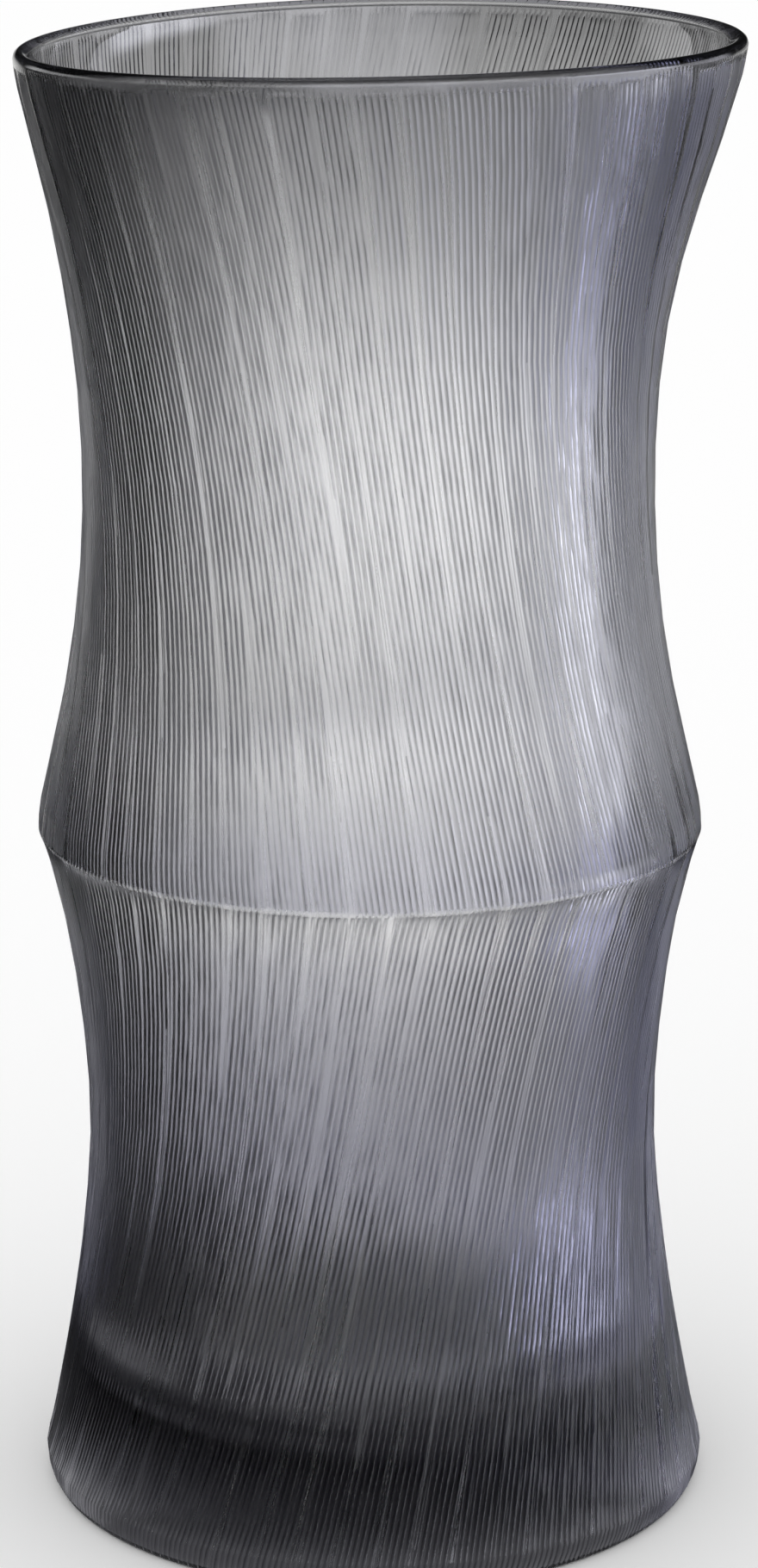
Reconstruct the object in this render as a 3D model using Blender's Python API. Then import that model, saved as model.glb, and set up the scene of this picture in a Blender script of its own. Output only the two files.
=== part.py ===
"""A tall hand-blown vase of smoke-grey glass. One wall of glass rises from a thick flat base, draws in to a waist,
swells to a sharp ridge a little below half height, draws in again and opens to a fire-polished lip.
The blowing leaves it slightly uneven: the lip dips and stands a little off the base's axis.

Metres, +Z up, with the origin at the centre of the underside."""

import math

import bmesh
import bpy
from mathutils import Vector
from mathutils.geometry import interpolate_bezier

# Heights above the table
LIP_HEIGHT = 0.370
UPPER_WAIST_HEIGHT = 0.264
RIDGE_HEIGHT = 0.1734
LOWER_WAIST_HEIGHT = 0.097
FLOOR_THICKNESS = 0.027

# Radii of the outside
LIP_RADIUS = 0.0888
UPPER_WAIST_RADIUS = 0.0709
RIDGE_RADIUS = 0.0836
LOWER_WAIST_RADIUS = 0.0723
FOOT_RADIUS = 0.0854

# The wall of glass, which is thicker behind the ridge, where the blown bubble stays round inside
WALL = 0.0048
RIDGE_WALL = 0.007
LIP_THICKNESS = 0.0036

# The ground edge under the foot, and the hollow round the floor inside
FOOT_EDGE_WIDTH = 0.0028
FOOT_EDGE_HEIGHT = 0.007
FLOOR_ROUND = 0.017

# How far the lip stands to +X of the base and the upper waist to -X, how much the lip rises towards +X,
# and how much it dips at its two sides and crests at the front and back
LIP_DRIFT = 0.0017
WAIST_DRIFT = 0.0012
LIP_TILT = 0.0018
LIP_WAVE = 0.0007
STRAIGHT_ABOVE_WAIST = 0.025

# Each flare runs from a waist, where the glass stands upright, to an edge, where it leans.
# The two holds say how far it keeps to those directions, as shares of the flare's height.
FOOT_WAIST_HOLD = 0.32
FOOT_EDGE_HOLD = 0.06
FOOT_LEAN = math.radians(20.7)
UNDER_RIDGE_WAIST_HOLD = 0.21
UNDER_RIDGE_EDGE_HOLD = 0.31
UNDER_RIDGE_LEAN = math.radians(20)
OVER_RIDGE_WAIST_HOLD = 0.56
OVER_RIDGE_EDGE_HOLD = 0.12
OVER_RIDGE_LEAN = math.radians(-4)
LIP_WAIST_HOLD = 0.53
LIP_EDGE_HOLD = 0.19
LIP_LEAN = math.radians(5)
OVER_BELLY_HOLD = 0.25
UNDER_BELLY_HOLD = 0.10
UNDER_BELLY_WAIST_HOLD = 0.38
QUARTER_ROUND_HOLD = 0.5523

# Rows of faces up the outside and the inside of each flare, round the small curves, and columns round the vase
OUTER_ROWS = 7
INNER_ROWS = 5
LIP_ROWS = 5
FOOT_EDGE_ROWS = 3
FLOOR_ROUND_ROWS = 4
COLUMNS = 72

SMOKE_GREY = (0.235, 0.235, 0.245, 1.0)
GROUND_ROUGHNESS = 0.28
GLASS_IOR = 1.5
SHARP_ANGLE = math.radians(40)
SAME_POINT = 0.000001


def point(radius, height):
    return Vector((radius, 0, height))


def flare(waist, edge, waist_hold, edge_hold, lean, rows):
    """Points of the wall from an upright waist to an edge, up or down, that leans outwards by lean."""
    rise = edge.z - waist.z
    upright = Vector((0, 0, rise)) * waist_hold
    leaning = Vector((abs(rise) * math.sin(lean), 0, rise * math.cos(lean))) * edge_hold
    return interpolate_bezier(waist, waist + upright, edge - leaning, edge, rows + 1)


def radius_at(curve, height):
    """The radius of a curve, listed from the top down, at a height."""
    for above, below in zip(curve, curve[1:]):
        if below.z <= height:
            share = (above.z - height) / (above.z - below.z)
            return above.x + (below.x - above.x) * share
    return curve[-1].x


def outside():
    """The outer surface from the centre of the underside up to where the lip's round begins."""
    foot = point(FOOT_RADIUS, FOOT_EDGE_HEIGHT)
    lower_waist = point(LOWER_WAIST_RADIUS, LOWER_WAIST_HEIGHT)
    ridge = point(RIDGE_RADIUS, RIDGE_HEIGHT)
    upper_waist = point(UPPER_WAIST_RADIUS, UPPER_WAIST_HEIGHT)
    lip = point(LIP_RADIUS, LIP_HEIGHT - LIP_THICKNESS / 2)

    points = [point(0, 0)]
    for row in range(FOOT_EDGE_ROWS):
        turn = math.pi / 2 * row / FOOT_EDGE_ROWS
        points.append(foot + point(FOOT_EDGE_WIDTH * (math.sin(turn) - 1), -FOOT_EDGE_HEIGHT * math.cos(turn)))
    to_foot = flare(lower_waist, foot, FOOT_WAIST_HOLD, FOOT_EDGE_HOLD, FOOT_LEAN, OUTER_ROWS)
    points += reversed(to_foot)
    points += flare(lower_waist, ridge, UNDER_RIDGE_WAIST_HOLD, UNDER_RIDGE_EDGE_HOLD, UNDER_RIDGE_LEAN, OUTER_ROWS)[1:]
    to_ridge = flare(upper_waist, ridge, OVER_RIDGE_WAIST_HOLD, OVER_RIDGE_EDGE_HOLD, OVER_RIDGE_LEAN, OUTER_ROWS)
    points += list(reversed(to_ridge))[1:]
    points += flare(upper_waist, lip, LIP_WAIST_HOLD, LIP_EDGE_HOLD, LIP_LEAN, OUTER_ROWS)[1:]
    return points, to_foot


def lip_round():
    """The fire-polished lip, half a circle over the top of the wall."""
    radius = LIP_THICKNESS / 2
    middle = point(LIP_RADIUS - radius, LIP_HEIGHT - radius)
    turns = (math.pi * row / LIP_ROWS for row in range(1, LIP_ROWS))
    return [middle + point(radius * math.cos(turn), radius * math.sin(turn)) for turn in turns]


def inside(to_foot):
    """The inner surface from the lip down to the centre of the floor, following the outer foot flare at the bottom."""
    lip = point(LIP_RADIUS - LIP_THICKNESS, LIP_HEIGHT - LIP_THICKNESS / 2)
    upper_waist = point(UPPER_WAIST_RADIUS - WALL, UPPER_WAIST_HEIGHT)
    belly = point(RIDGE_RADIUS - RIDGE_WALL, RIDGE_HEIGHT)
    lower_waist = point(LOWER_WAIST_RADIUS - WALL, LOWER_WAIST_HEIGHT)

    points = list(reversed(flare(upper_waist, lip, LIP_WAIST_HOLD, LIP_EDGE_HOLD, LIP_LEAN, OUTER_ROWS)))
    points += flare(upper_waist, belly, OVER_RIDGE_WAIST_HOLD, OVER_BELLY_HOLD, 0, INNER_ROWS)[1:]
    to_belly = flare(lower_waist, belly, UNDER_BELLY_WAIST_HOLD, UNDER_BELLY_HOLD, 0, INNER_ROWS)
    points += list(reversed(to_belly))[1:]

    round_height = FLOOR_THICKNESS + FLOOR_ROUND
    for row in range(1, INNER_ROWS + 1):
        height = LOWER_WAIST_HEIGHT + (round_height - LOWER_WAIST_HEIGHT) * row / INNER_ROWS
        points.append(point(radius_at(to_foot, height) - WALL, height))
    round_top = points[-1]
    down = (round_top - points[-2]).normalized()
    floor_edge = point(round_top.x - FLOOR_ROUND, FLOOR_THICKNESS)
    hold = FLOOR_ROUND * QUARTER_ROUND_HOLD
    outwards = Vector((1, 0, 0))
    points += interpolate_bezier(
        round_top, round_top + down * hold, floor_edge + outwards * hold, floor_edge, FLOOR_ROUND_ROWS + 1
    )[1:]
    points.append(point(0, FLOOR_THICKNESS))
    return points


def eased(share):
    """0 at a share of 0 or less, 1 at a share of 1 or more, and smooth between them."""
    share = min(max(share, 0), 1)
    return share * share * (3 - 2 * share)


def slump(body):
    """Moves the turned points to where the hot glass settled: the axis drifts with height, and the lip tilts."""
    free_height = UPPER_WAIST_HEIGHT + STRAIGHT_ABOVE_WAIST
    for vert in body.verts:
        height = vert.co.z
        turn = math.atan2(vert.co.y, vert.co.x)
        to_waist = eased(height / UPPER_WAIST_HEIGHT)
        to_lip = eased((height - free_height) / (LIP_HEIGHT - free_height))
        in_upper_half = eased((height - RIDGE_HEIGHT) / (LIP_HEIGHT - RIDGE_HEIGHT))
        vert.co.x += (LIP_DRIFT + WAIST_DRIFT) * to_lip - WAIST_DRIFT * to_waist
        vert.co.z += (LIP_TILT * math.cos(turn) - LIP_WAVE * math.cos(2 * turn)) * in_upper_half


def glass_body():
    """The whole vase, one wall of glass turned about the Z axis."""
    outer, to_foot = outside()
    outline = outer + lip_round() + inside(to_foot)

    body = bmesh.new()
    verts = [body.verts.new(place) for place in outline]
    edges = [body.edges.new(pair) for pair in zip(verts, verts[1:])]
    bmesh.ops.spin(
        body, geom=verts + edges, cent=(0, 0, 0), axis=(0, 0, 1), angle=math.tau, steps=COLUMNS, use_merge=True
    )
    bmesh.ops.remove_doubles(body, verts=body.verts, dist=SAME_POINT)
    bmesh.ops.recalc_face_normals(body, faces=body.faces)
    slump(body)

    mesh = bpy.data.meshes.new("glass_body")
    body.to_mesh(mesh)
    body.free()
    mesh.shade_smooth()
    mesh.set_sharp_from_angle(angle=SHARP_ANGLE)
    return mesh


def smoke_glass():
    material = bpy.data.materials.new("smoke_glass")
    material.use_nodes = True
    shader = material.node_tree.nodes["Principled BSDF"]
    shader.inputs["Base Color"].default_value = SMOKE_GREY
    shader.inputs["Metallic"].default_value = 0
    shader.inputs["Roughness"].default_value = GROUND_ROUGHNESS
    shader.inputs["IOR"].default_value = GLASS_IOR
    shader.inputs["Transmission Weight"].default_value = 1
    return material


for old in list(bpy.data.objects):
    bpy.data.objects.remove(old)
vase = bpy.data.objects.new("glass_body", glass_body())
vase.data.materials.append(smoke_glass())
bpy.context.collection.objects.link(vase)
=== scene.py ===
"""Looks of a tall vase of smoke-grey blown glass, cut all over the outside with fine upright grooves.
The glass is one piece. It stands on a plain white table in soft studio light. Metres, +Z up."""

import math
import random

import bmesh
import bpy
import numpy as np
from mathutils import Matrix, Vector
from mathutils.geometry import interpolate_bezier


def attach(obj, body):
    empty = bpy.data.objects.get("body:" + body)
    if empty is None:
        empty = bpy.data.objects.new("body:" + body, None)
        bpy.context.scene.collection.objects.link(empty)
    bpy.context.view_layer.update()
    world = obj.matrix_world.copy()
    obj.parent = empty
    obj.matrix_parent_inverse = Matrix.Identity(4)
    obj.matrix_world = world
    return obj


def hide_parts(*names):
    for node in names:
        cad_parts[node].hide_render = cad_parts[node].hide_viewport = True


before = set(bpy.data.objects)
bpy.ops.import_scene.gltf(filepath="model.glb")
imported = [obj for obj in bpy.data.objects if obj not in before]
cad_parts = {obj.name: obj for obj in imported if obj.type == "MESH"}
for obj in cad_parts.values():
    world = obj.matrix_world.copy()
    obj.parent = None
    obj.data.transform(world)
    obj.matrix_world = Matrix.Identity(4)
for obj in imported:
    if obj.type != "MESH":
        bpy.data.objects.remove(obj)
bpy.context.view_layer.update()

# The blown bubble
# One bubble of smoke-grey glass, blown in a mould and opened at the lip: two bells that meet at a sharp
# ridge. Heights and radii are those of the solid, and each flare runs from an upright waist to an edge.
LIP_HEIGHT = 0.370
UPPER_WAIST_HEIGHT = 0.264
RIDGE_HEIGHT = 0.1734
LOWER_WAIST_HEIGHT = 0.097
LIP_RADIUS = 0.0888
UPPER_WAIST_RADIUS = 0.0709
RIDGE_RADIUS = 0.0836
LOWER_WAIST_RADIUS = 0.0723
FOOT_RADIUS = 0.0854
FLARE_POINTS = 40

# Each flare: how far it holds upright from the waist, how far it holds its lean at the edge, and that lean in
# degrees
FOOT_FLARE = (0.32, 0.06, 20.7)
UNDER_RIDGE_FLARE = (0.21, 0.31, 20)
OVER_RIDGE_FLARE = (0.56, 0.12, -4)
LIP_FLARE = (0.53, 0.19, 5)


def flare(waist, edge, waist_hold, edge_hold, lean):
    """A fine curve of (radius, height) from an upright waist to an edge that leans outwards."""
    start = Vector((waist[0], waist[1], 0))
    end = Vector((edge[0], edge[1], 0))
    rise = end.y - start.y
    upright = Vector((0, rise * waist_hold, 0))
    turn = math.radians(lean)
    leaning = Vector((abs(rise) * math.sin(turn), rise * math.cos(turn), 0)) * edge_hold
    return [(p.x, p.y) for p in interpolate_bezier(start, start + upright, end - leaning, end, FLARE_POINTS)]


# The lip is a half round, melted smooth in the fire. The edge under the foot is ground to a quarter ellipse.
LIP_THICKNESS = 0.0036
LIP_POINTS = 6
FOOT_EDGE_WIDTH = 0.0028
FOOT_EDGE_HEIGHT = 0.007
FOOT_EDGE_POINTS = 5

lip_start = LIP_HEIGHT - LIP_THICKNESS / 2
upper_waist = (UPPER_WAIST_RADIUS, UPPER_WAIST_HEIGHT)
lower_waist = (LOWER_WAIST_RADIUS, LOWER_WAIST_HEIGHT)
ridge = (RIDGE_RADIUS, RIDGE_HEIGHT)
outline = flare(lower_waist, (FOOT_RADIUS, FOOT_EDGE_HEIGHT), *FOOT_FLARE)[::-1]
outline += flare(lower_waist, ridge, *UNDER_RIDGE_FLARE)[1:]
outline += flare(upper_waist, ridge, *OVER_RIDGE_FLARE)[::-1][1:]
outline += flare(upper_waist, (LIP_RADIUS, lip_start), *LIP_FLARE)[1:]
outline_radii, outline_heights = np.array(outline).T

# Rows of points up the wall, close together where the wheel starts and stops. A stretch of even rows is given
# by its lowest row, its highest and how many it has, and the rows at the ridge by how far off it they lie.
FOOT_ROWS = [0.0078, 0.0110]
LOWER_ROWS = (0.0160, 0.1665, 11)
RIDGE_ROWS = [-0.0024, -0.0008, 0, 0.0008, 0.0024]
UPPER_ROWS = (0.1800, 0.3612, 13)
LIP_ROWS = (0.3645, 0.3678, 4)

wall_heights = np.concatenate([
    FOOT_ROWS,
    np.linspace(*LOWER_ROWS),
    RIDGE_HEIGHT + np.array(RIDGE_ROWS),
    np.linspace(*UPPER_ROWS),
    np.linspace(*LIP_ROWS)])
foot_turns = np.linspace(0, np.pi / 2, FOOT_EDGE_POINTS)
lip_turns = np.linspace(0, np.pi, LIP_POINTS)
heights = np.concatenate([
    FOOT_EDGE_HEIGHT * (1 - np.cos(foot_turns)),
    wall_heights,
    lip_start + LIP_THICKNESS / 2 * np.sin(lip_turns)])
radii = np.concatenate([
    FOOT_RADIUS + FOOT_EDGE_WIDTH * (np.sin(foot_turns) - 1),
    np.interp(wall_heights, outline_heights, outline_radii),
    LIP_RADIUS - LIP_THICKNESS / 2 * (1 - np.cos(lip_turns))])

# The wheel-cut grooves
# A wheel with a ribbed rim was run down the glass some fifty times round each half, cutting seven grooves a
# pass. Passes overlap at the waists and barely meet at the lip and the foot, where slivers of the blown skin
# are left.
GROOVE_PITCH = 0.00155
GROOVES_A_PASS = 7
GROOVE_DEPTH = 0.00024
PRESS = 0.00040
PRESS_CHANGES = (-0.00010, 0.00004)
PRESS_KNOTS = 14
PASSES = 54
WHEEL_ROUND = 0.085
LEAN_AT_LIP = 9
LEAN_OVER_RIDGE = 7.5
LEAN_UNDER_RIDGE = -8.5
LEAN_AT_FOOT = -13
COLUMNS = 1980
SHALLOWEST_CUT = 0.00006
EDGE_OF_PASS = 0.0005
END_OF_PASS = 0.0014
NARROWER_AT_ENDS = 0.02
DEEPEST_RIB = 0.9

# Where the passes of each half start and stop, and over how much height the wheel is let down and lifted off
LOWEST_CUT = 0.0010
HIGHEST_CUT = 0.3668
RIDGE_OVERLAP = 0.0001
EASE_AT_FOOT = 0.022
EASE_AT_RIDGE = 0.006
EASE_AT_LIP = 0.030

# What the hand changes from pass to pass: its place as a share of a pass, its lean in degrees, how it wanders
# in radians, and where and how slowly it ends, as shares of the ease
SEED = 11
PASS_SHIFT = 0.06
OWN_LEAN = 0.35
WANDER = 0.003
WANDER_KNOTS = 7
TOP_SHIFT = (-0.03, 0.02)
BOTTOM_SHIFT = (-0.03, 0.04)
EASE_CHANGES = (0.6, 1.3)

draw = random.Random(SEED)
columns = np.arange(COLUMNS + 1) / COLUMNS * 2 * np.pi

# How far round the vase the grooves have drifted at each row. They lean one way above the ridge and the other
# way below it.
leans = np.where(
    heights > RIDGE_HEIGHT,
    np.interp(heights, [RIDGE_HEIGHT, LIP_HEIGHT], [LEAN_OVER_RIDGE, LEAN_AT_LIP]),
    np.interp(heights, [0, RIDGE_HEIGHT], [LEAN_AT_FOOT, LEAN_UNDER_RIDGE]))
turn_rates = np.tan(np.radians(leans)) / radii
drift = np.concatenate([[0], np.cumsum((turn_rates[1:] + turn_rates[:-1]) / 2 * np.diff(heights))])
drift -= drift[np.argmin(np.abs(heights - RIDGE_HEIGHT))]

depth = np.zeros((len(heights), len(columns)))
cut_by = np.full(depth.shape, -1)
pass_centres = []
pass_phases = []


def eased(share):
    """0 at a share of 0 or less, 1 at a share of 1 or more, and smooth between them."""
    share = np.clip(share, 0, 1)
    return share * share * (3 - 2 * share)


def uneven(low, high, knots):
    """A value at every row that wanders between low and high over that many knots up the vase."""
    values = [draw.uniform(low, high) for knot in range(knots)]
    return np.interp(heights, np.linspace(0, LIP_HEIGHT, knots), values)


def shortest(turn):
    """The same angle between half a turn back and half a turn on."""
    return (turn + np.pi) % (2 * np.pi) - np.pi


def cut(low_end, high_end, low_ease, high_ease):
    """Runs the passes of one half round the vase. Over the two eases the wheel lifts off towards an end."""
    for number in range(PASSES):
        middle = 2 * np.pi * (number + draw.uniform(-PASS_SHIFT, PASS_SHIFT)) / PASSES
        own_lean = math.tan(math.radians(draw.gauss(0, OWN_LEAN)))
        top = high_end + draw.uniform(*TOP_SHIFT) * high_ease
        bottom = low_end + draw.uniform(*BOTTOM_SHIFT) * low_ease
        centre = middle + own_lean * (heights - (top + bottom) / 2) / radii
        centre += uneven(-WANDER, WANDER, WANDER_KNOTS)
        across = shortest(columns - centre[:, None]) * radii[:, None]

        from_top = (top - heights) / (high_ease * draw.uniform(*EASE_CHANGES))
        from_bottom = (heights - bottom) / (low_ease * draw.uniform(*EASE_CHANGES))
        narrower = NARROWER_AT_ENDS * (1 - eased(np.minimum(from_top, from_bottom)))
        width = GROOVES_A_PASS * GROOVE_PITCH / 2 * (1 - narrower)
        from_end = np.clip(np.minimum(top - heights, heights - bottom) / END_OF_PASS, 0, 1)
        press = (PRESS + uneven(*PRESS_CHANGES, PRESS_KNOTS)) * np.sqrt(1 - (1 - from_end) ** 2)

        phase = draw.uniform(0, 1)
        ribs = 0.5 + 0.5 * np.cos(2 * np.pi * (across / GROOVE_PITCH + phase))
        rib_depth = np.minimum(GROOVE_DEPTH, press * DEEPEST_RIB)[:, None]
        made = press[:, None] - across ** 2 / (2 * WHEEL_ROUND) - rib_depth * ribs
        made *= np.clip((width[:, None] - np.abs(across)) / EDGE_OF_PASS, 0, 1)
        deeper = made > depth
        depth[deeper] = made[deeper]
        cut_by[deeper] = len(pass_centres)
        pass_centres.append(centre)
        pass_phases.append(phase)


cut(RIDGE_HEIGHT - RIDGE_OVERLAP, HIGHEST_CUT, EASE_AT_RIDGE, EASE_AT_LIP)
cut(LOWEST_CUT, RIDGE_HEIGHT + RIDGE_OVERLAP, EASE_AT_FOOT, EASE_AT_RIDGE)

# The outside
# The skin of the bubble with the cut taken away from it, settled as the hot glass slumped. Each point keeps
# how far it is ground, 0 on the blown skin and 1 in a groove, and how far it is on the fire-polished lip,
# where painted shade darkens the colour.
WAIST_DRIFT = 0.0012
LIP_DRIFT = 0.0017
LIP_TILT = 0.0018
LIP_WAVE = 0.0007
STRAIGHT_ABOVE_WAIST = 0.025
INNER_COLUMNS = 180
INNER_LIP_SHARE = 0.3
MAP_GAP = 20
CENTIMETRES = 100


def slumped(turn, radius, height):
    """Where a point came to rest: the axis drifts with height, and the lip tilts and waves."""
    free_height = UPPER_WAIST_HEIGHT + STRAIGHT_ABOVE_WAIST
    to_waist = eased(height / UPPER_WAIST_HEIGHT)
    to_lip = eased((height - free_height) / (LIP_HEIGHT - free_height))
    in_upper_half = eased((height - RIDGE_HEIGHT) / (LIP_HEIGHT - RIDGE_HEIGHT))
    x = radius * np.cos(turn) + (LIP_DRIFT + WAIST_DRIFT) * to_lip - WAIST_DRIFT * to_waist
    y = radius * np.sin(turn)
    z = height + (LIP_TILT * np.cos(turn) - LIP_WAVE * np.cos(2 * turn)) * in_upper_half
    return np.stack(np.broadcast_arrays(x, y, z), axis=-1)


def tube(body, places):
    """A grid of faces with its points moved to the places given. Returns each point's row and column."""
    rows, width = places.shape[:2]
    grid = bmesh.ops.create_grid(body, x_segments=width - 1, y_segments=rows - 1, size=0.5)
    where = {}
    for vert in grid["verts"]:
        row = round((vert.co.y + 0.5) * (rows - 1))
        column = round((vert.co.x + 0.5) * (width - 1))
        where[vert] = (row, column)
        vert.co = places[row, column]
    return where


# The back is where the columns meet. The first and the last row take the inside's columns, to join it.
turns = np.pi / 2 + columns - drift[:, None]
places = slumped(turns, radii[:, None] - depth, heights[:, None])
nearest_inner = np.round(columns / (2 * np.pi) * INNER_COLUMNS) / INNER_COLUMNS * 2 * np.pi
for row in (0, -1):
    places[row] = slumped(np.pi / 2 + nearest_inner, radii[row], heights[row])

body = bmesh.new()
ground = body.verts.layers.float.new("ground")
lip_shade_share = body.verts.layers.float.new("lip_shade_share")
groove_map = body.loops.layers.uv.new("grooves")
where = tube(body, places)
ground_share = np.clip(depth / SHALLOWEST_CUT, 0, 1)
# How far each point is on the lip, for the painted shade there; the inside of the lip takes less of it
lip_share = np.clip((heights - lip_start) / (LIP_THICKNESS / 4), 0, 1)
lip_share *= np.where(radii < LIP_RADIUS - LIP_THICKNESS / 2, INNER_LIP_SHARE, 1)
for vert, (row, column) in where.items():
    vert[ground] = ground_share[row, column]
    vert[lip_shade_share] = lip_share[row]

# The map counts grooves across the pass that cut each face, with a gap between passes, and centimetres up
face_cut_by = np.maximum.reduce([cut_by[:-1, :-1], cut_by[1:, :-1], cut_by[:-1, 1:], cut_by[1:, 1:]])
for face in body.faces:
    corners = [where[loop.vert] for loop in face.loops]
    number = face_cut_by[min(row for row, column in corners), min(column for row, column in corners)]
    if number < 0:
        continue
    centre = pass_centres[number]
    start = pass_phases[number] + MAP_GAP * (1 + number % PASSES)
    for loop, (row, column) in zip(face.loops, corners):
        across = shortest(columns[column] - centre[row]) * radii[row]
        loop[groove_map].uv = (start + across / GROOVE_PITCH, heights[row] * CENTIMETRES)

# The inside
# The smooth inside of the bubble, which stays rounder than the outside behind the ridge, and the floor over
# the thick base. The wheel never touches it.
WALL = 0.0048
RIDGE_WALL = 0.007
FLOOR_THICKNESS = 0.027
FLOOR_ROUND = 0.017
FLOOR_RINGS = [0.03, 0.01]
INNER_UNDER_RIDGE_FLARE = (0.38, 0.10, 0)
INNER_OVER_RIDGE_FLARE = (0.56, 0.25, 0)
UNDER_LIP_ROWS = [0, 0.0004, 0.0010, 0.0019, 0.0032, 0.0052]
BELL_TOP = 0.360
BELL_ROWS = 23
BASE_ROWS = 6
ROUND_ROWS = 7
WELD = 0.000005

inner_upper_waist = (UPPER_WAIST_RADIUS - WALL, UPPER_WAIST_HEIGHT)
inner_lower_waist = (LOWER_WAIST_RADIUS - WALL, LOWER_WAIST_HEIGHT)
belly = (RIDGE_RADIUS - RIDGE_WALL, RIDGE_HEIGHT)
inner_curve = flare(inner_lower_waist, belly, *INNER_UNDER_RIDGE_FLARE)
inner_curve += flare(inner_upper_waist, belly, *INNER_OVER_RIDGE_FLARE)[::-1][1:]
inner_curve += flare(inner_upper_waist, (LIP_RADIUS - LIP_THICKNESS, lip_start), *LIP_FLARE)[1:]
inner_curve_radii, inner_curve_heights = np.array(inner_curve).T

under_lip_heights = lip_start - np.array(UNDER_LIP_ROWS)
bell_heights = np.linspace(BELL_TOP, LOWER_WAIST_HEIGHT, BELL_ROWS)
base_heights = np.linspace(LOWER_WAIST_HEIGHT, FLOOR_THICKNESS + FLOOR_ROUND, BASE_ROWS)[1:]
base_radii = np.interp(base_heights, outline_heights, outline_radii) - WALL
round_turns = np.linspace(0, np.pi / 2, ROUND_ROWS)[1:]
upper_heights = np.concatenate([under_lip_heights, bell_heights])
inner_heights = np.concatenate([
    upper_heights,
    base_heights,
    FLOOR_THICKNESS + FLOOR_ROUND * (1 - np.sin(round_turns)),
    [FLOOR_THICKNESS] * len(FLOOR_RINGS)])
inner_radii = np.concatenate([
    np.interp(upper_heights, inner_curve_heights, inner_curve_radii),
    base_radii,
    base_radii[-1] - FLOOR_ROUND * (1 - np.cos(round_turns)),
    FLOOR_RINGS])
inner_turns = np.pi / 2 + np.arange(INNER_COLUMNS + 1) / INNER_COLUMNS * 2 * np.pi
tube(body, slumped(inner_turns, inner_radii[:, None], inner_heights[:, None]))

bmesh.ops.remove_doubles(body, verts=body.verts, dist=WELD)
bmesh.ops.holes_fill(body, edges=body.edges, sides=0)
bmesh.ops.recalc_face_normals(body, faces=body.faces)
mesh = bpy.data.meshes.new("cut_glass")
body.to_mesh(mesh)
body.free()
mesh.shade_smooth()
vase = bpy.data.objects.new("cut_glass", mesh)
bpy.context.collection.objects.link(vase)

# The smoke glass
# Soda glass tinted grey in the melt, so that a thicker wall is darker, and denser towards the lip. The wheel
# left the grooves satin, each with its own strength. The blown skin, the lip and the inside have a bright
# gloss. Painted shade darkens the groove crests, and nearly blackens the lip, in the base colour.
GLASS_IOR = 1.5
SMOKE_COLOUR = (0.20, 0.20, 0.235, 1)
SMOKE_DENSITY = 60
LIP_SMOKE = (0.42, 0.42, 0.425, 1)
# Painted shade: the lip's base colour, nearly black, stands in for the dark line of light trapped in the lip
PAINTED_LIP_SHADE = (0.04, 0.04, 0.045, 1)
WHITE = (1, 1, 1, 1)
LIP_SMOKE_FROM = 0.265
SATIN = 0.25
BRIGHT = 0.03
# Painted shade on the groove crests, mixed into the base colour
CREST_SHADE = (0.38, 0.38, 0.39, 1)
CREST_BAND = (0.30, 0.90)
CREST_SHARPNESS = 0.00014
SHARPER_AT_FOOT = 4
SHARPEST_BELOW = 0.03
SHARPER_BELOW = 0.12

# The noise that says how deep the wheel bit: how it is stretched across and up the map, the part of it that
# counts, and the range it gives to the crests' shape and to their shade
BITE_STRETCH = (0.9, 0.7, 1)
BITE_DETAIL = 2
BITE_RANGE = (0.35, 0.65)
BITE_ON_SHAPE = (0.55, 1.3)
BITE_ON_SHADE = (0.5, 1)


def maths(tree, operation, *values):
    """A Math node. Each value is a number or another node's output."""
    node = tree.nodes.new("ShaderNodeMath")
    node.operation = operation
    for socket, value in zip(node.inputs, values):
        if isinstance(value, (int, float)):
            socket.default_value = value
        else:
            tree.links.new(value, socket)
    return node.outputs["Value"]


def ranged(tree, value, from_low, from_high, to_low=0, to_high=1):
    """Maps a value from one range to another, smoothly, and no further than its ends."""
    node = tree.nodes.new("ShaderNodeMapRange")
    node.interpolation_type = "SMOOTHSTEP"
    tree.links.new(value, node.inputs["Value"])
    node.inputs["From Min"].default_value = from_low
    node.inputs["From Max"].default_value = from_high
    node.inputs["To Min"].default_value = to_low
    node.inputs["To Max"].default_value = to_high
    return node.outputs["Result"]


def mixed(tree, share, first, second):
    """A colour between two others, each a colour or a node's output."""
    node = tree.nodes.new("ShaderNodeMix")
    node.data_type = "RGBA"
    tree.links.new(share, node.inputs[0])
    for socket, value in zip((node.inputs[6], node.inputs[7]), (first, second)):
        if isinstance(value, tuple):
            socket.default_value = value
        else:
            tree.links.new(value, socket)
    return node.outputs[2]


def split(tree, vector):
    """The X, Y and Z of a vector."""
    node = tree.nodes.new("ShaderNodeSeparateXYZ")
    tree.links.new(vector, node.inputs["Vector"])
    return node.outputs


def read(tree, attribute):
    """A number kept at each point of the mesh."""
    node = tree.nodes.new("ShaderNodeAttribute")
    node.attribute_name = attribute
    return node.outputs["Fac"]


glass = bpy.data.materials.new("smoke_glass")
glass.use_nodes = True
tree = glass.node_tree
shader = tree.nodes["Principled BSDF"]
shader.inputs["IOR"].default_value = GLASS_IOR
shader.inputs["Transmission Weight"].default_value = 1

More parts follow.
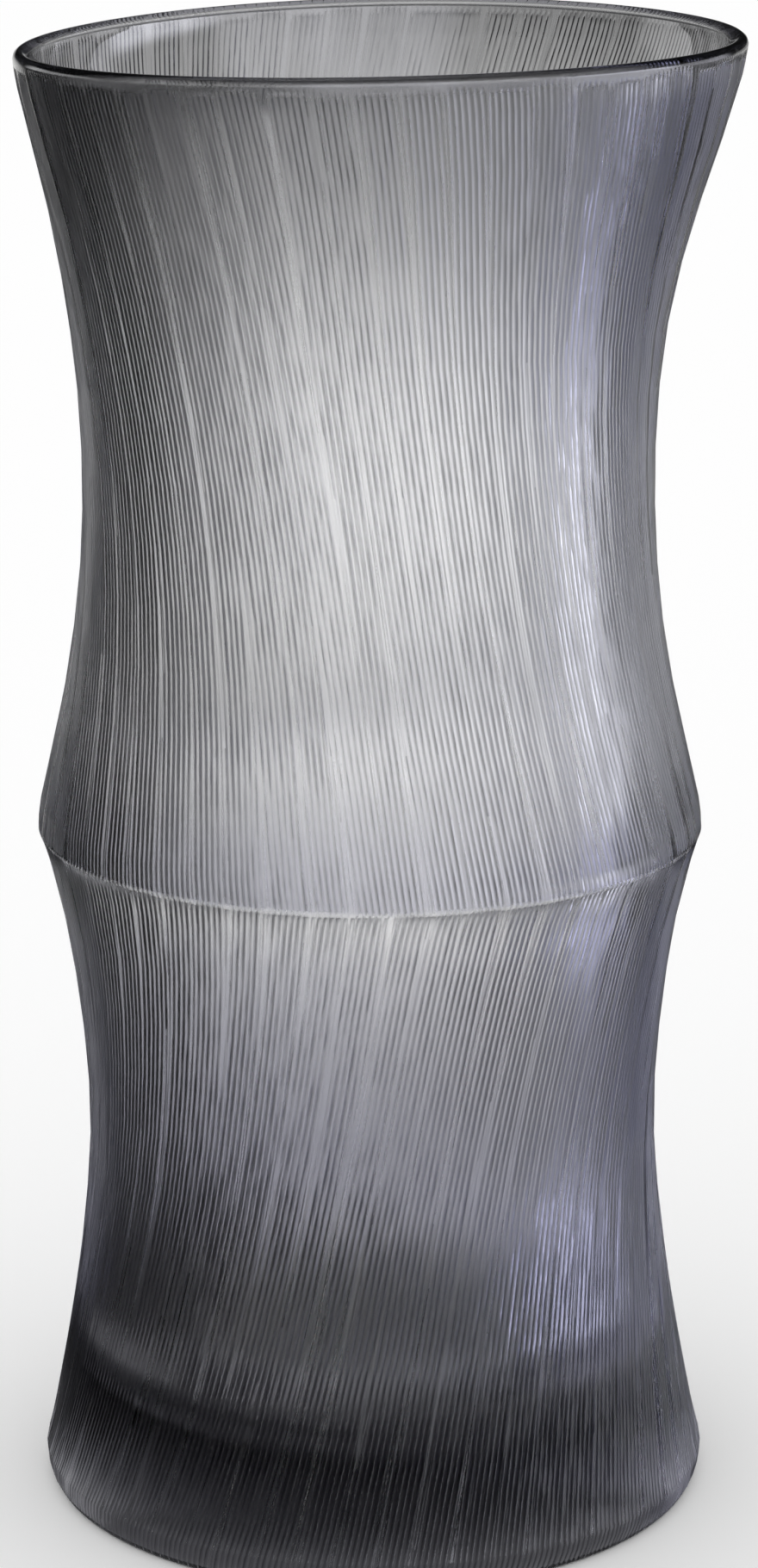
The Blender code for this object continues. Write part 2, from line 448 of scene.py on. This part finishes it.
# Tint
coordinates = tree.nodes.new("ShaderNodeTexCoord")
height = split(tree, coordinates.outputs["Object"])["Z"]
towards_lip = ranged(tree, height, LIP_SMOKE_FROM, LIP_HEIGHT)
wall_tint = mixed(tree, towards_lip, WHITE, LIP_SMOKE)
absorption = tree.nodes.new("ShaderNodeVolumeAbsorption")
absorption.inputs["Color"].default_value = SMOKE_COLOUR
absorption.inputs["Density"].default_value = SMOKE_DENSITY
tree.links.new(absorption.outputs["Volume"], tree.nodes["Material Output"].inputs["Volume"])

# Satin grooves with sharp crests. Their darker look, where the crests bend light away, is painted shade in
# the base colour.
# How deep the wheel bit changes from place to place, and the crests are sharper near the foot.
cut_share = read(tree, "ground")
tree.links.new(maths(tree, "MULTIPLY_ADD", cut_share, SATIN, BRIGHT), shader.inputs["Roughness"])
groove_place = tree.nodes.new("ShaderNodeUVMap")
groove_place.uv_map = "grooves"
groove_share = maths(tree, "FRACT", split(tree, groove_place.outputs["UV"])["X"])
from_middle = maths(tree, "MULTIPLY_ADD", groove_share, 2, -1)
crest = maths(tree, "MULTIPLY", from_middle, from_middle)
crest_shade_mask = maths(tree, "MULTIPLY", ranged(tree, crest, *CREST_BAND), cut_share)
stretch = tree.nodes.new("ShaderNodeVectorMath")
stretch.operation = "MULTIPLY"
stretch.inputs[1].default_value = BITE_STRETCH
tree.links.new(groove_place.outputs["UV"], stretch.inputs[0])
bite = tree.nodes.new("ShaderNodeTexNoise")
bite.inputs["Scale"].default_value = 1
bite.inputs["Detail"].default_value = BITE_DETAIL
tree.links.new(stretch.outputs["Vector"], bite.inputs["Vector"])
bite_strength = ranged(tree, bite.outputs["Fac"], *BITE_RANGE, *BITE_ON_SHAPE)
bump = tree.nodes.new("ShaderNodeBump")
bump.inputs["Strength"].default_value = 1
bump.inputs["Distance"].default_value = CREST_SHARPNESS
sharper = ranged(tree, height, SHARPEST_BELOW, SHARPER_BELOW, SHARPER_AT_FOOT, 1)
ground_crest = maths(tree, "MULTIPLY", maths(tree, "MULTIPLY", crest, cut_share), sharper)
tree.links.new(maths(tree, "MULTIPLY", ground_crest, bite_strength), bump.inputs["Height"])
tree.links.new(bump.outputs["Normal"], shader.inputs["Normal"])
shade_strength = ranged(tree, bite.outputs["Fac"], *BITE_RANGE, *BITE_ON_SHADE)
painted_crest_shade = maths(tree, "MULTIPLY", crest_shade_mask, shade_strength)
# Painted shade: the tint darkens along the crests
tint_with_crest_shade = mixed(tree, painted_crest_shade, wall_tint, CREST_SHADE)
# Painted shade: the lip's colour goes nearly black
tree.links.new(mixed(tree, read(tree, "lip_shade_share"), tint_with_crest_shade, PAINTED_LIP_SHADE), shader.inputs["Base Color"])

mesh.materials.append(glass)
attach(vase, "root")
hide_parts("glass_body")

# The studio round the vase
# What the glass shows of the room: a pale table and backdrop of limited width, a large soft window to the
# right and behind the camera, pale stretches of wall and floor, and dark walls between them. Only rays from
# the glass see it. Each light is a soft-edged patch: left and right in degrees, with 0 behind the vase, how
# soft these are, bottom and top as the rise of the view, from -1 straight down to 1 straight up, how soft
# these are, and its colour.
ROOM_LIGHT = 0.01
LIGHTS = {
    "table under the vase": (70, 108, 6, -1.10, -0.93, 0.02, (0.50, 0.50, 0.58)),
    "table under its left": (-112, -58, 6, -1.10, -0.93, 0.02, (0.65, 0.65, 0.67)),
    "table under its front": (116, 244, 8, -1.10, -0.86, 0.02, (0.14, 0.14, 0.15)),
    "floor on the left": (-110, -60, 6, -0.92, -0.76, 0.03, (0.30, 0.30, 0.32)),
    "table by the vase": (-50, 122, 8, -0.93, -0.80, 0.03, (0.20, 0.20, 0.25)),
    "table": (-50, 112, 8, -0.82, -0.60, 0.04, (0.25, 0.25, 0.38)),
    "table's left": (-41, 32, 6, -0.82, -0.34, 0.05, (0.80, 0.80, 0.85)),
    "backdrop": (-34, 38, 5, -0.34, -0.03, 0.04, (0.48, 0.48, 0.47)),
    "backdrop's middle": (-26, 16, 6, -0.28, -0.10, 0.04, (1.10, 1.10, 1.07)),
    "backdrop's top": (-28, 4, 6, -0.08, 0.04, 0.03, (0.46, 0.46, 0.46)),
    "backdrop's right": (12, 42, 5, -0.28, -0.08, 0.03, (0.30, 0.30, 0.30)),
    "wall on the right": (44, 76, 6, -0.10, 0.18, 0.04, (1.45, 1.45, 1.60)),
    "window": (76, 124, 5, -0.22, 0.14, 0.04, (3.45, 3.50, 3.90)),
    "window's head": (80, 118, 5, -0.04, 0.16, 0.04, (2.20, 2.22, 2.50)),
    "window's foot": (80, 124, 6, -0.50, -0.20, 0.04, (1.90, 1.95, 2.90)),
    "window's far side": (124, 165, 8, -0.50, 0.40, 0.06, (2.40, 2.42, 2.65)),
    "wall on the left": (-80, -38, 6, 0.00, 0.22, 0.05, (1.70, 1.70, 1.73)),
    "floor behind the camera": (160, 205, 10, -0.50, -0.18, 0.05, (2.30, 2.30, 2.32)),
    "wall behind the camera": (160, 205, 10, -0.18, 0.50, 0.06, (1.90, 1.92, 2.15)),
    "floor to the left": (-158, -122, 10, -0.50, -0.26, 0.04, (2.90, 2.90, 2.94))}


def patch(tree, value, low, high, soft, whole_turn=False):
    """1 between low and high and 0 outside them, with soft edges."""
    away = maths(tree, "SUBTRACT", value, (low + high) / 2)
    if whole_turn:
        away = maths(tree, "WRAP", away, -180, 180)
    half = (high - low) / 2
    return ranged(tree, maths(tree, "ABSOLUTE", away), half - soft, half + soft, 1, 0)


def studio(tree, direction):
    """The room's colour in a direction. Azimuth is 0 behind the vase and grows to the right."""
    sides = split(tree, direction)
    azimuth = maths(tree, "DEGREES", maths(tree, "ARCTAN2", sides["X"], sides["Y"]))
    total = (ROOM_LIGHT, ROOM_LIGHT, ROOM_LIGHT)
    for left, right, side_soft, bottom, top, rise_soft, colour in LIGHTS.values():
        across = patch(tree, azimuth, left, right, side_soft, True)
        lit = maths(tree, "MULTIPLY", across, patch(tree, sides["Z"], bottom, top, rise_soft))
        light = tree.nodes.new("ShaderNodeVectorMath")
        light.operation = "SCALE"
        light.inputs[0].default_value = colour
        tree.links.new(lit, light.inputs["Scale"])
        both = tree.nodes.new("ShaderNodeVectorMath")
        both.operation = "ADD"
        tree.links.new(light.outputs["Vector"], both.inputs[0])
        if isinstance(total, tuple):
            both.inputs[1].default_value = total
        else:
            tree.links.new(total, both.inputs[1])
        total = both.outputs["Vector"]
    return total


def seen_in_glass(tree):
    """1 for a ray that comes from the glass."""
    path = tree.nodes.new("ShaderNodeLightPath")
    return maths(tree, "MAXIMUM", path.outputs["Is Glossy Ray"], path.outputs["Is Transmission Ray"])


world = bpy.data.worlds.new("studio")
bpy.context.scene.world = world
world.use_nodes = True
tree = world.node_tree
plain = tree.nodes["Background"]
plain.inputs["Color"].default_value = WHITE
coordinates = tree.nodes.new("ShaderNodeTexCoord")
room = tree.nodes.new("ShaderNodeBackground")
tree.links.new(studio(tree, coordinates.outputs["Generated"]), room.inputs["Color"])
either = tree.nodes.new("ShaderNodeMixShader")
tree.links.new(seen_in_glass(tree), either.inputs["Fac"])
tree.links.new(plain.outputs["Background"], either.inputs[1])
tree.links.new(room.outputs["Background"], either.inputs[2])
tree.links.new(either.outputs["Shader"], tree.nodes["World Output"].inputs["Surface"])

# The table
# A plain pale table top. In the glass it turns black and glows with painted light instead, which carries the
# backdrop on, as seen from a little above the table.
TABLE_RADIUS = 6
TABLE_WHITE = (0.99, 0.99, 0.99, 1)
TABLE_ROUGHNESS = 0.8
BLACK = (0, 0, 0, 1)
SEEN_FROM = 0.2

top = bmesh.new()
bmesh.ops.create_circle(top, cap_ends=True, segments=64, radius=TABLE_RADIUS)
table_mesh = bpy.data.meshes.new("table")
top.to_mesh(table_mesh)
top.free()
table = bpy.data.objects.new("table", table_mesh)
bpy.context.collection.objects.link(table)

pale = bpy.data.materials.new("pale_table")
pale.use_nodes = True
tree = pale.node_tree
shader = tree.nodes["Principled BSDF"]
shader.inputs["Roughness"].default_value = TABLE_ROUGHNESS
shader.inputs["Specular IOR Level"].default_value = 0
shader.inputs["Emission Strength"].default_value = 1
from_glass = seen_in_glass(tree)
tree.links.new(mixed(tree, from_glass, TABLE_WHITE, BLACK), shader.inputs["Base Color"])
coordinates = tree.nodes.new("ShaderNodeTexCoord")
lowered = tree.nodes.new("ShaderNodeVectorMath")
lowered.operation = "ADD"
lowered.inputs[1].default_value = (0, 0, -SEEN_FROM)
tree.links.new(coordinates.outputs["Object"], lowered.inputs[0])
direction = tree.nodes.new("ShaderNodeVectorMath")
direction.operation = "NORMALIZE"
tree.links.new(lowered.outputs["Vector"], direction.inputs[0])
# Painted light: the table glows with the room's lights, for rays from the glass only
painted_room_glow = tree.nodes.new("ShaderNodeVectorMath")
painted_room_glow.operation = "SCALE"
tree.links.new(studio(tree, direction.outputs["Vector"]), painted_room_glow.inputs[0])
tree.links.new(from_glass, painted_room_glow.inputs["Scale"])
tree.links.new(painted_room_glow.outputs["Vector"], shader.inputs["Emission Color"])
table_mesh.materials.append(pale)

# The camera
# It stands 1.13 m in front of the axis and 0.49 m above the table, and looks down 15.4 degrees.
CAMERA_PLACE = (0.0014, -1.131, 0.4936)
CAMERA_TILT = math.radians(74.63)
FOCAL_LENGTH = 106.7
SENSOR_WIDTH = 36

lens = bpy.data.cameras.new("camera")
lens.lens = FOCAL_LENGTH
lens.sensor_width = SENSOR_WIDTH
camera = bpy.data.objects.new("camera", lens)
camera.location = CAMERA_PLACE
camera.rotation_euler = (CAMERA_TILT, 0, 0)
bpy.context.collection.objects.link(camera)
bpy.context.scene.camera = camera
bpy.context.scene.view_settings.view_transform = "Standard"
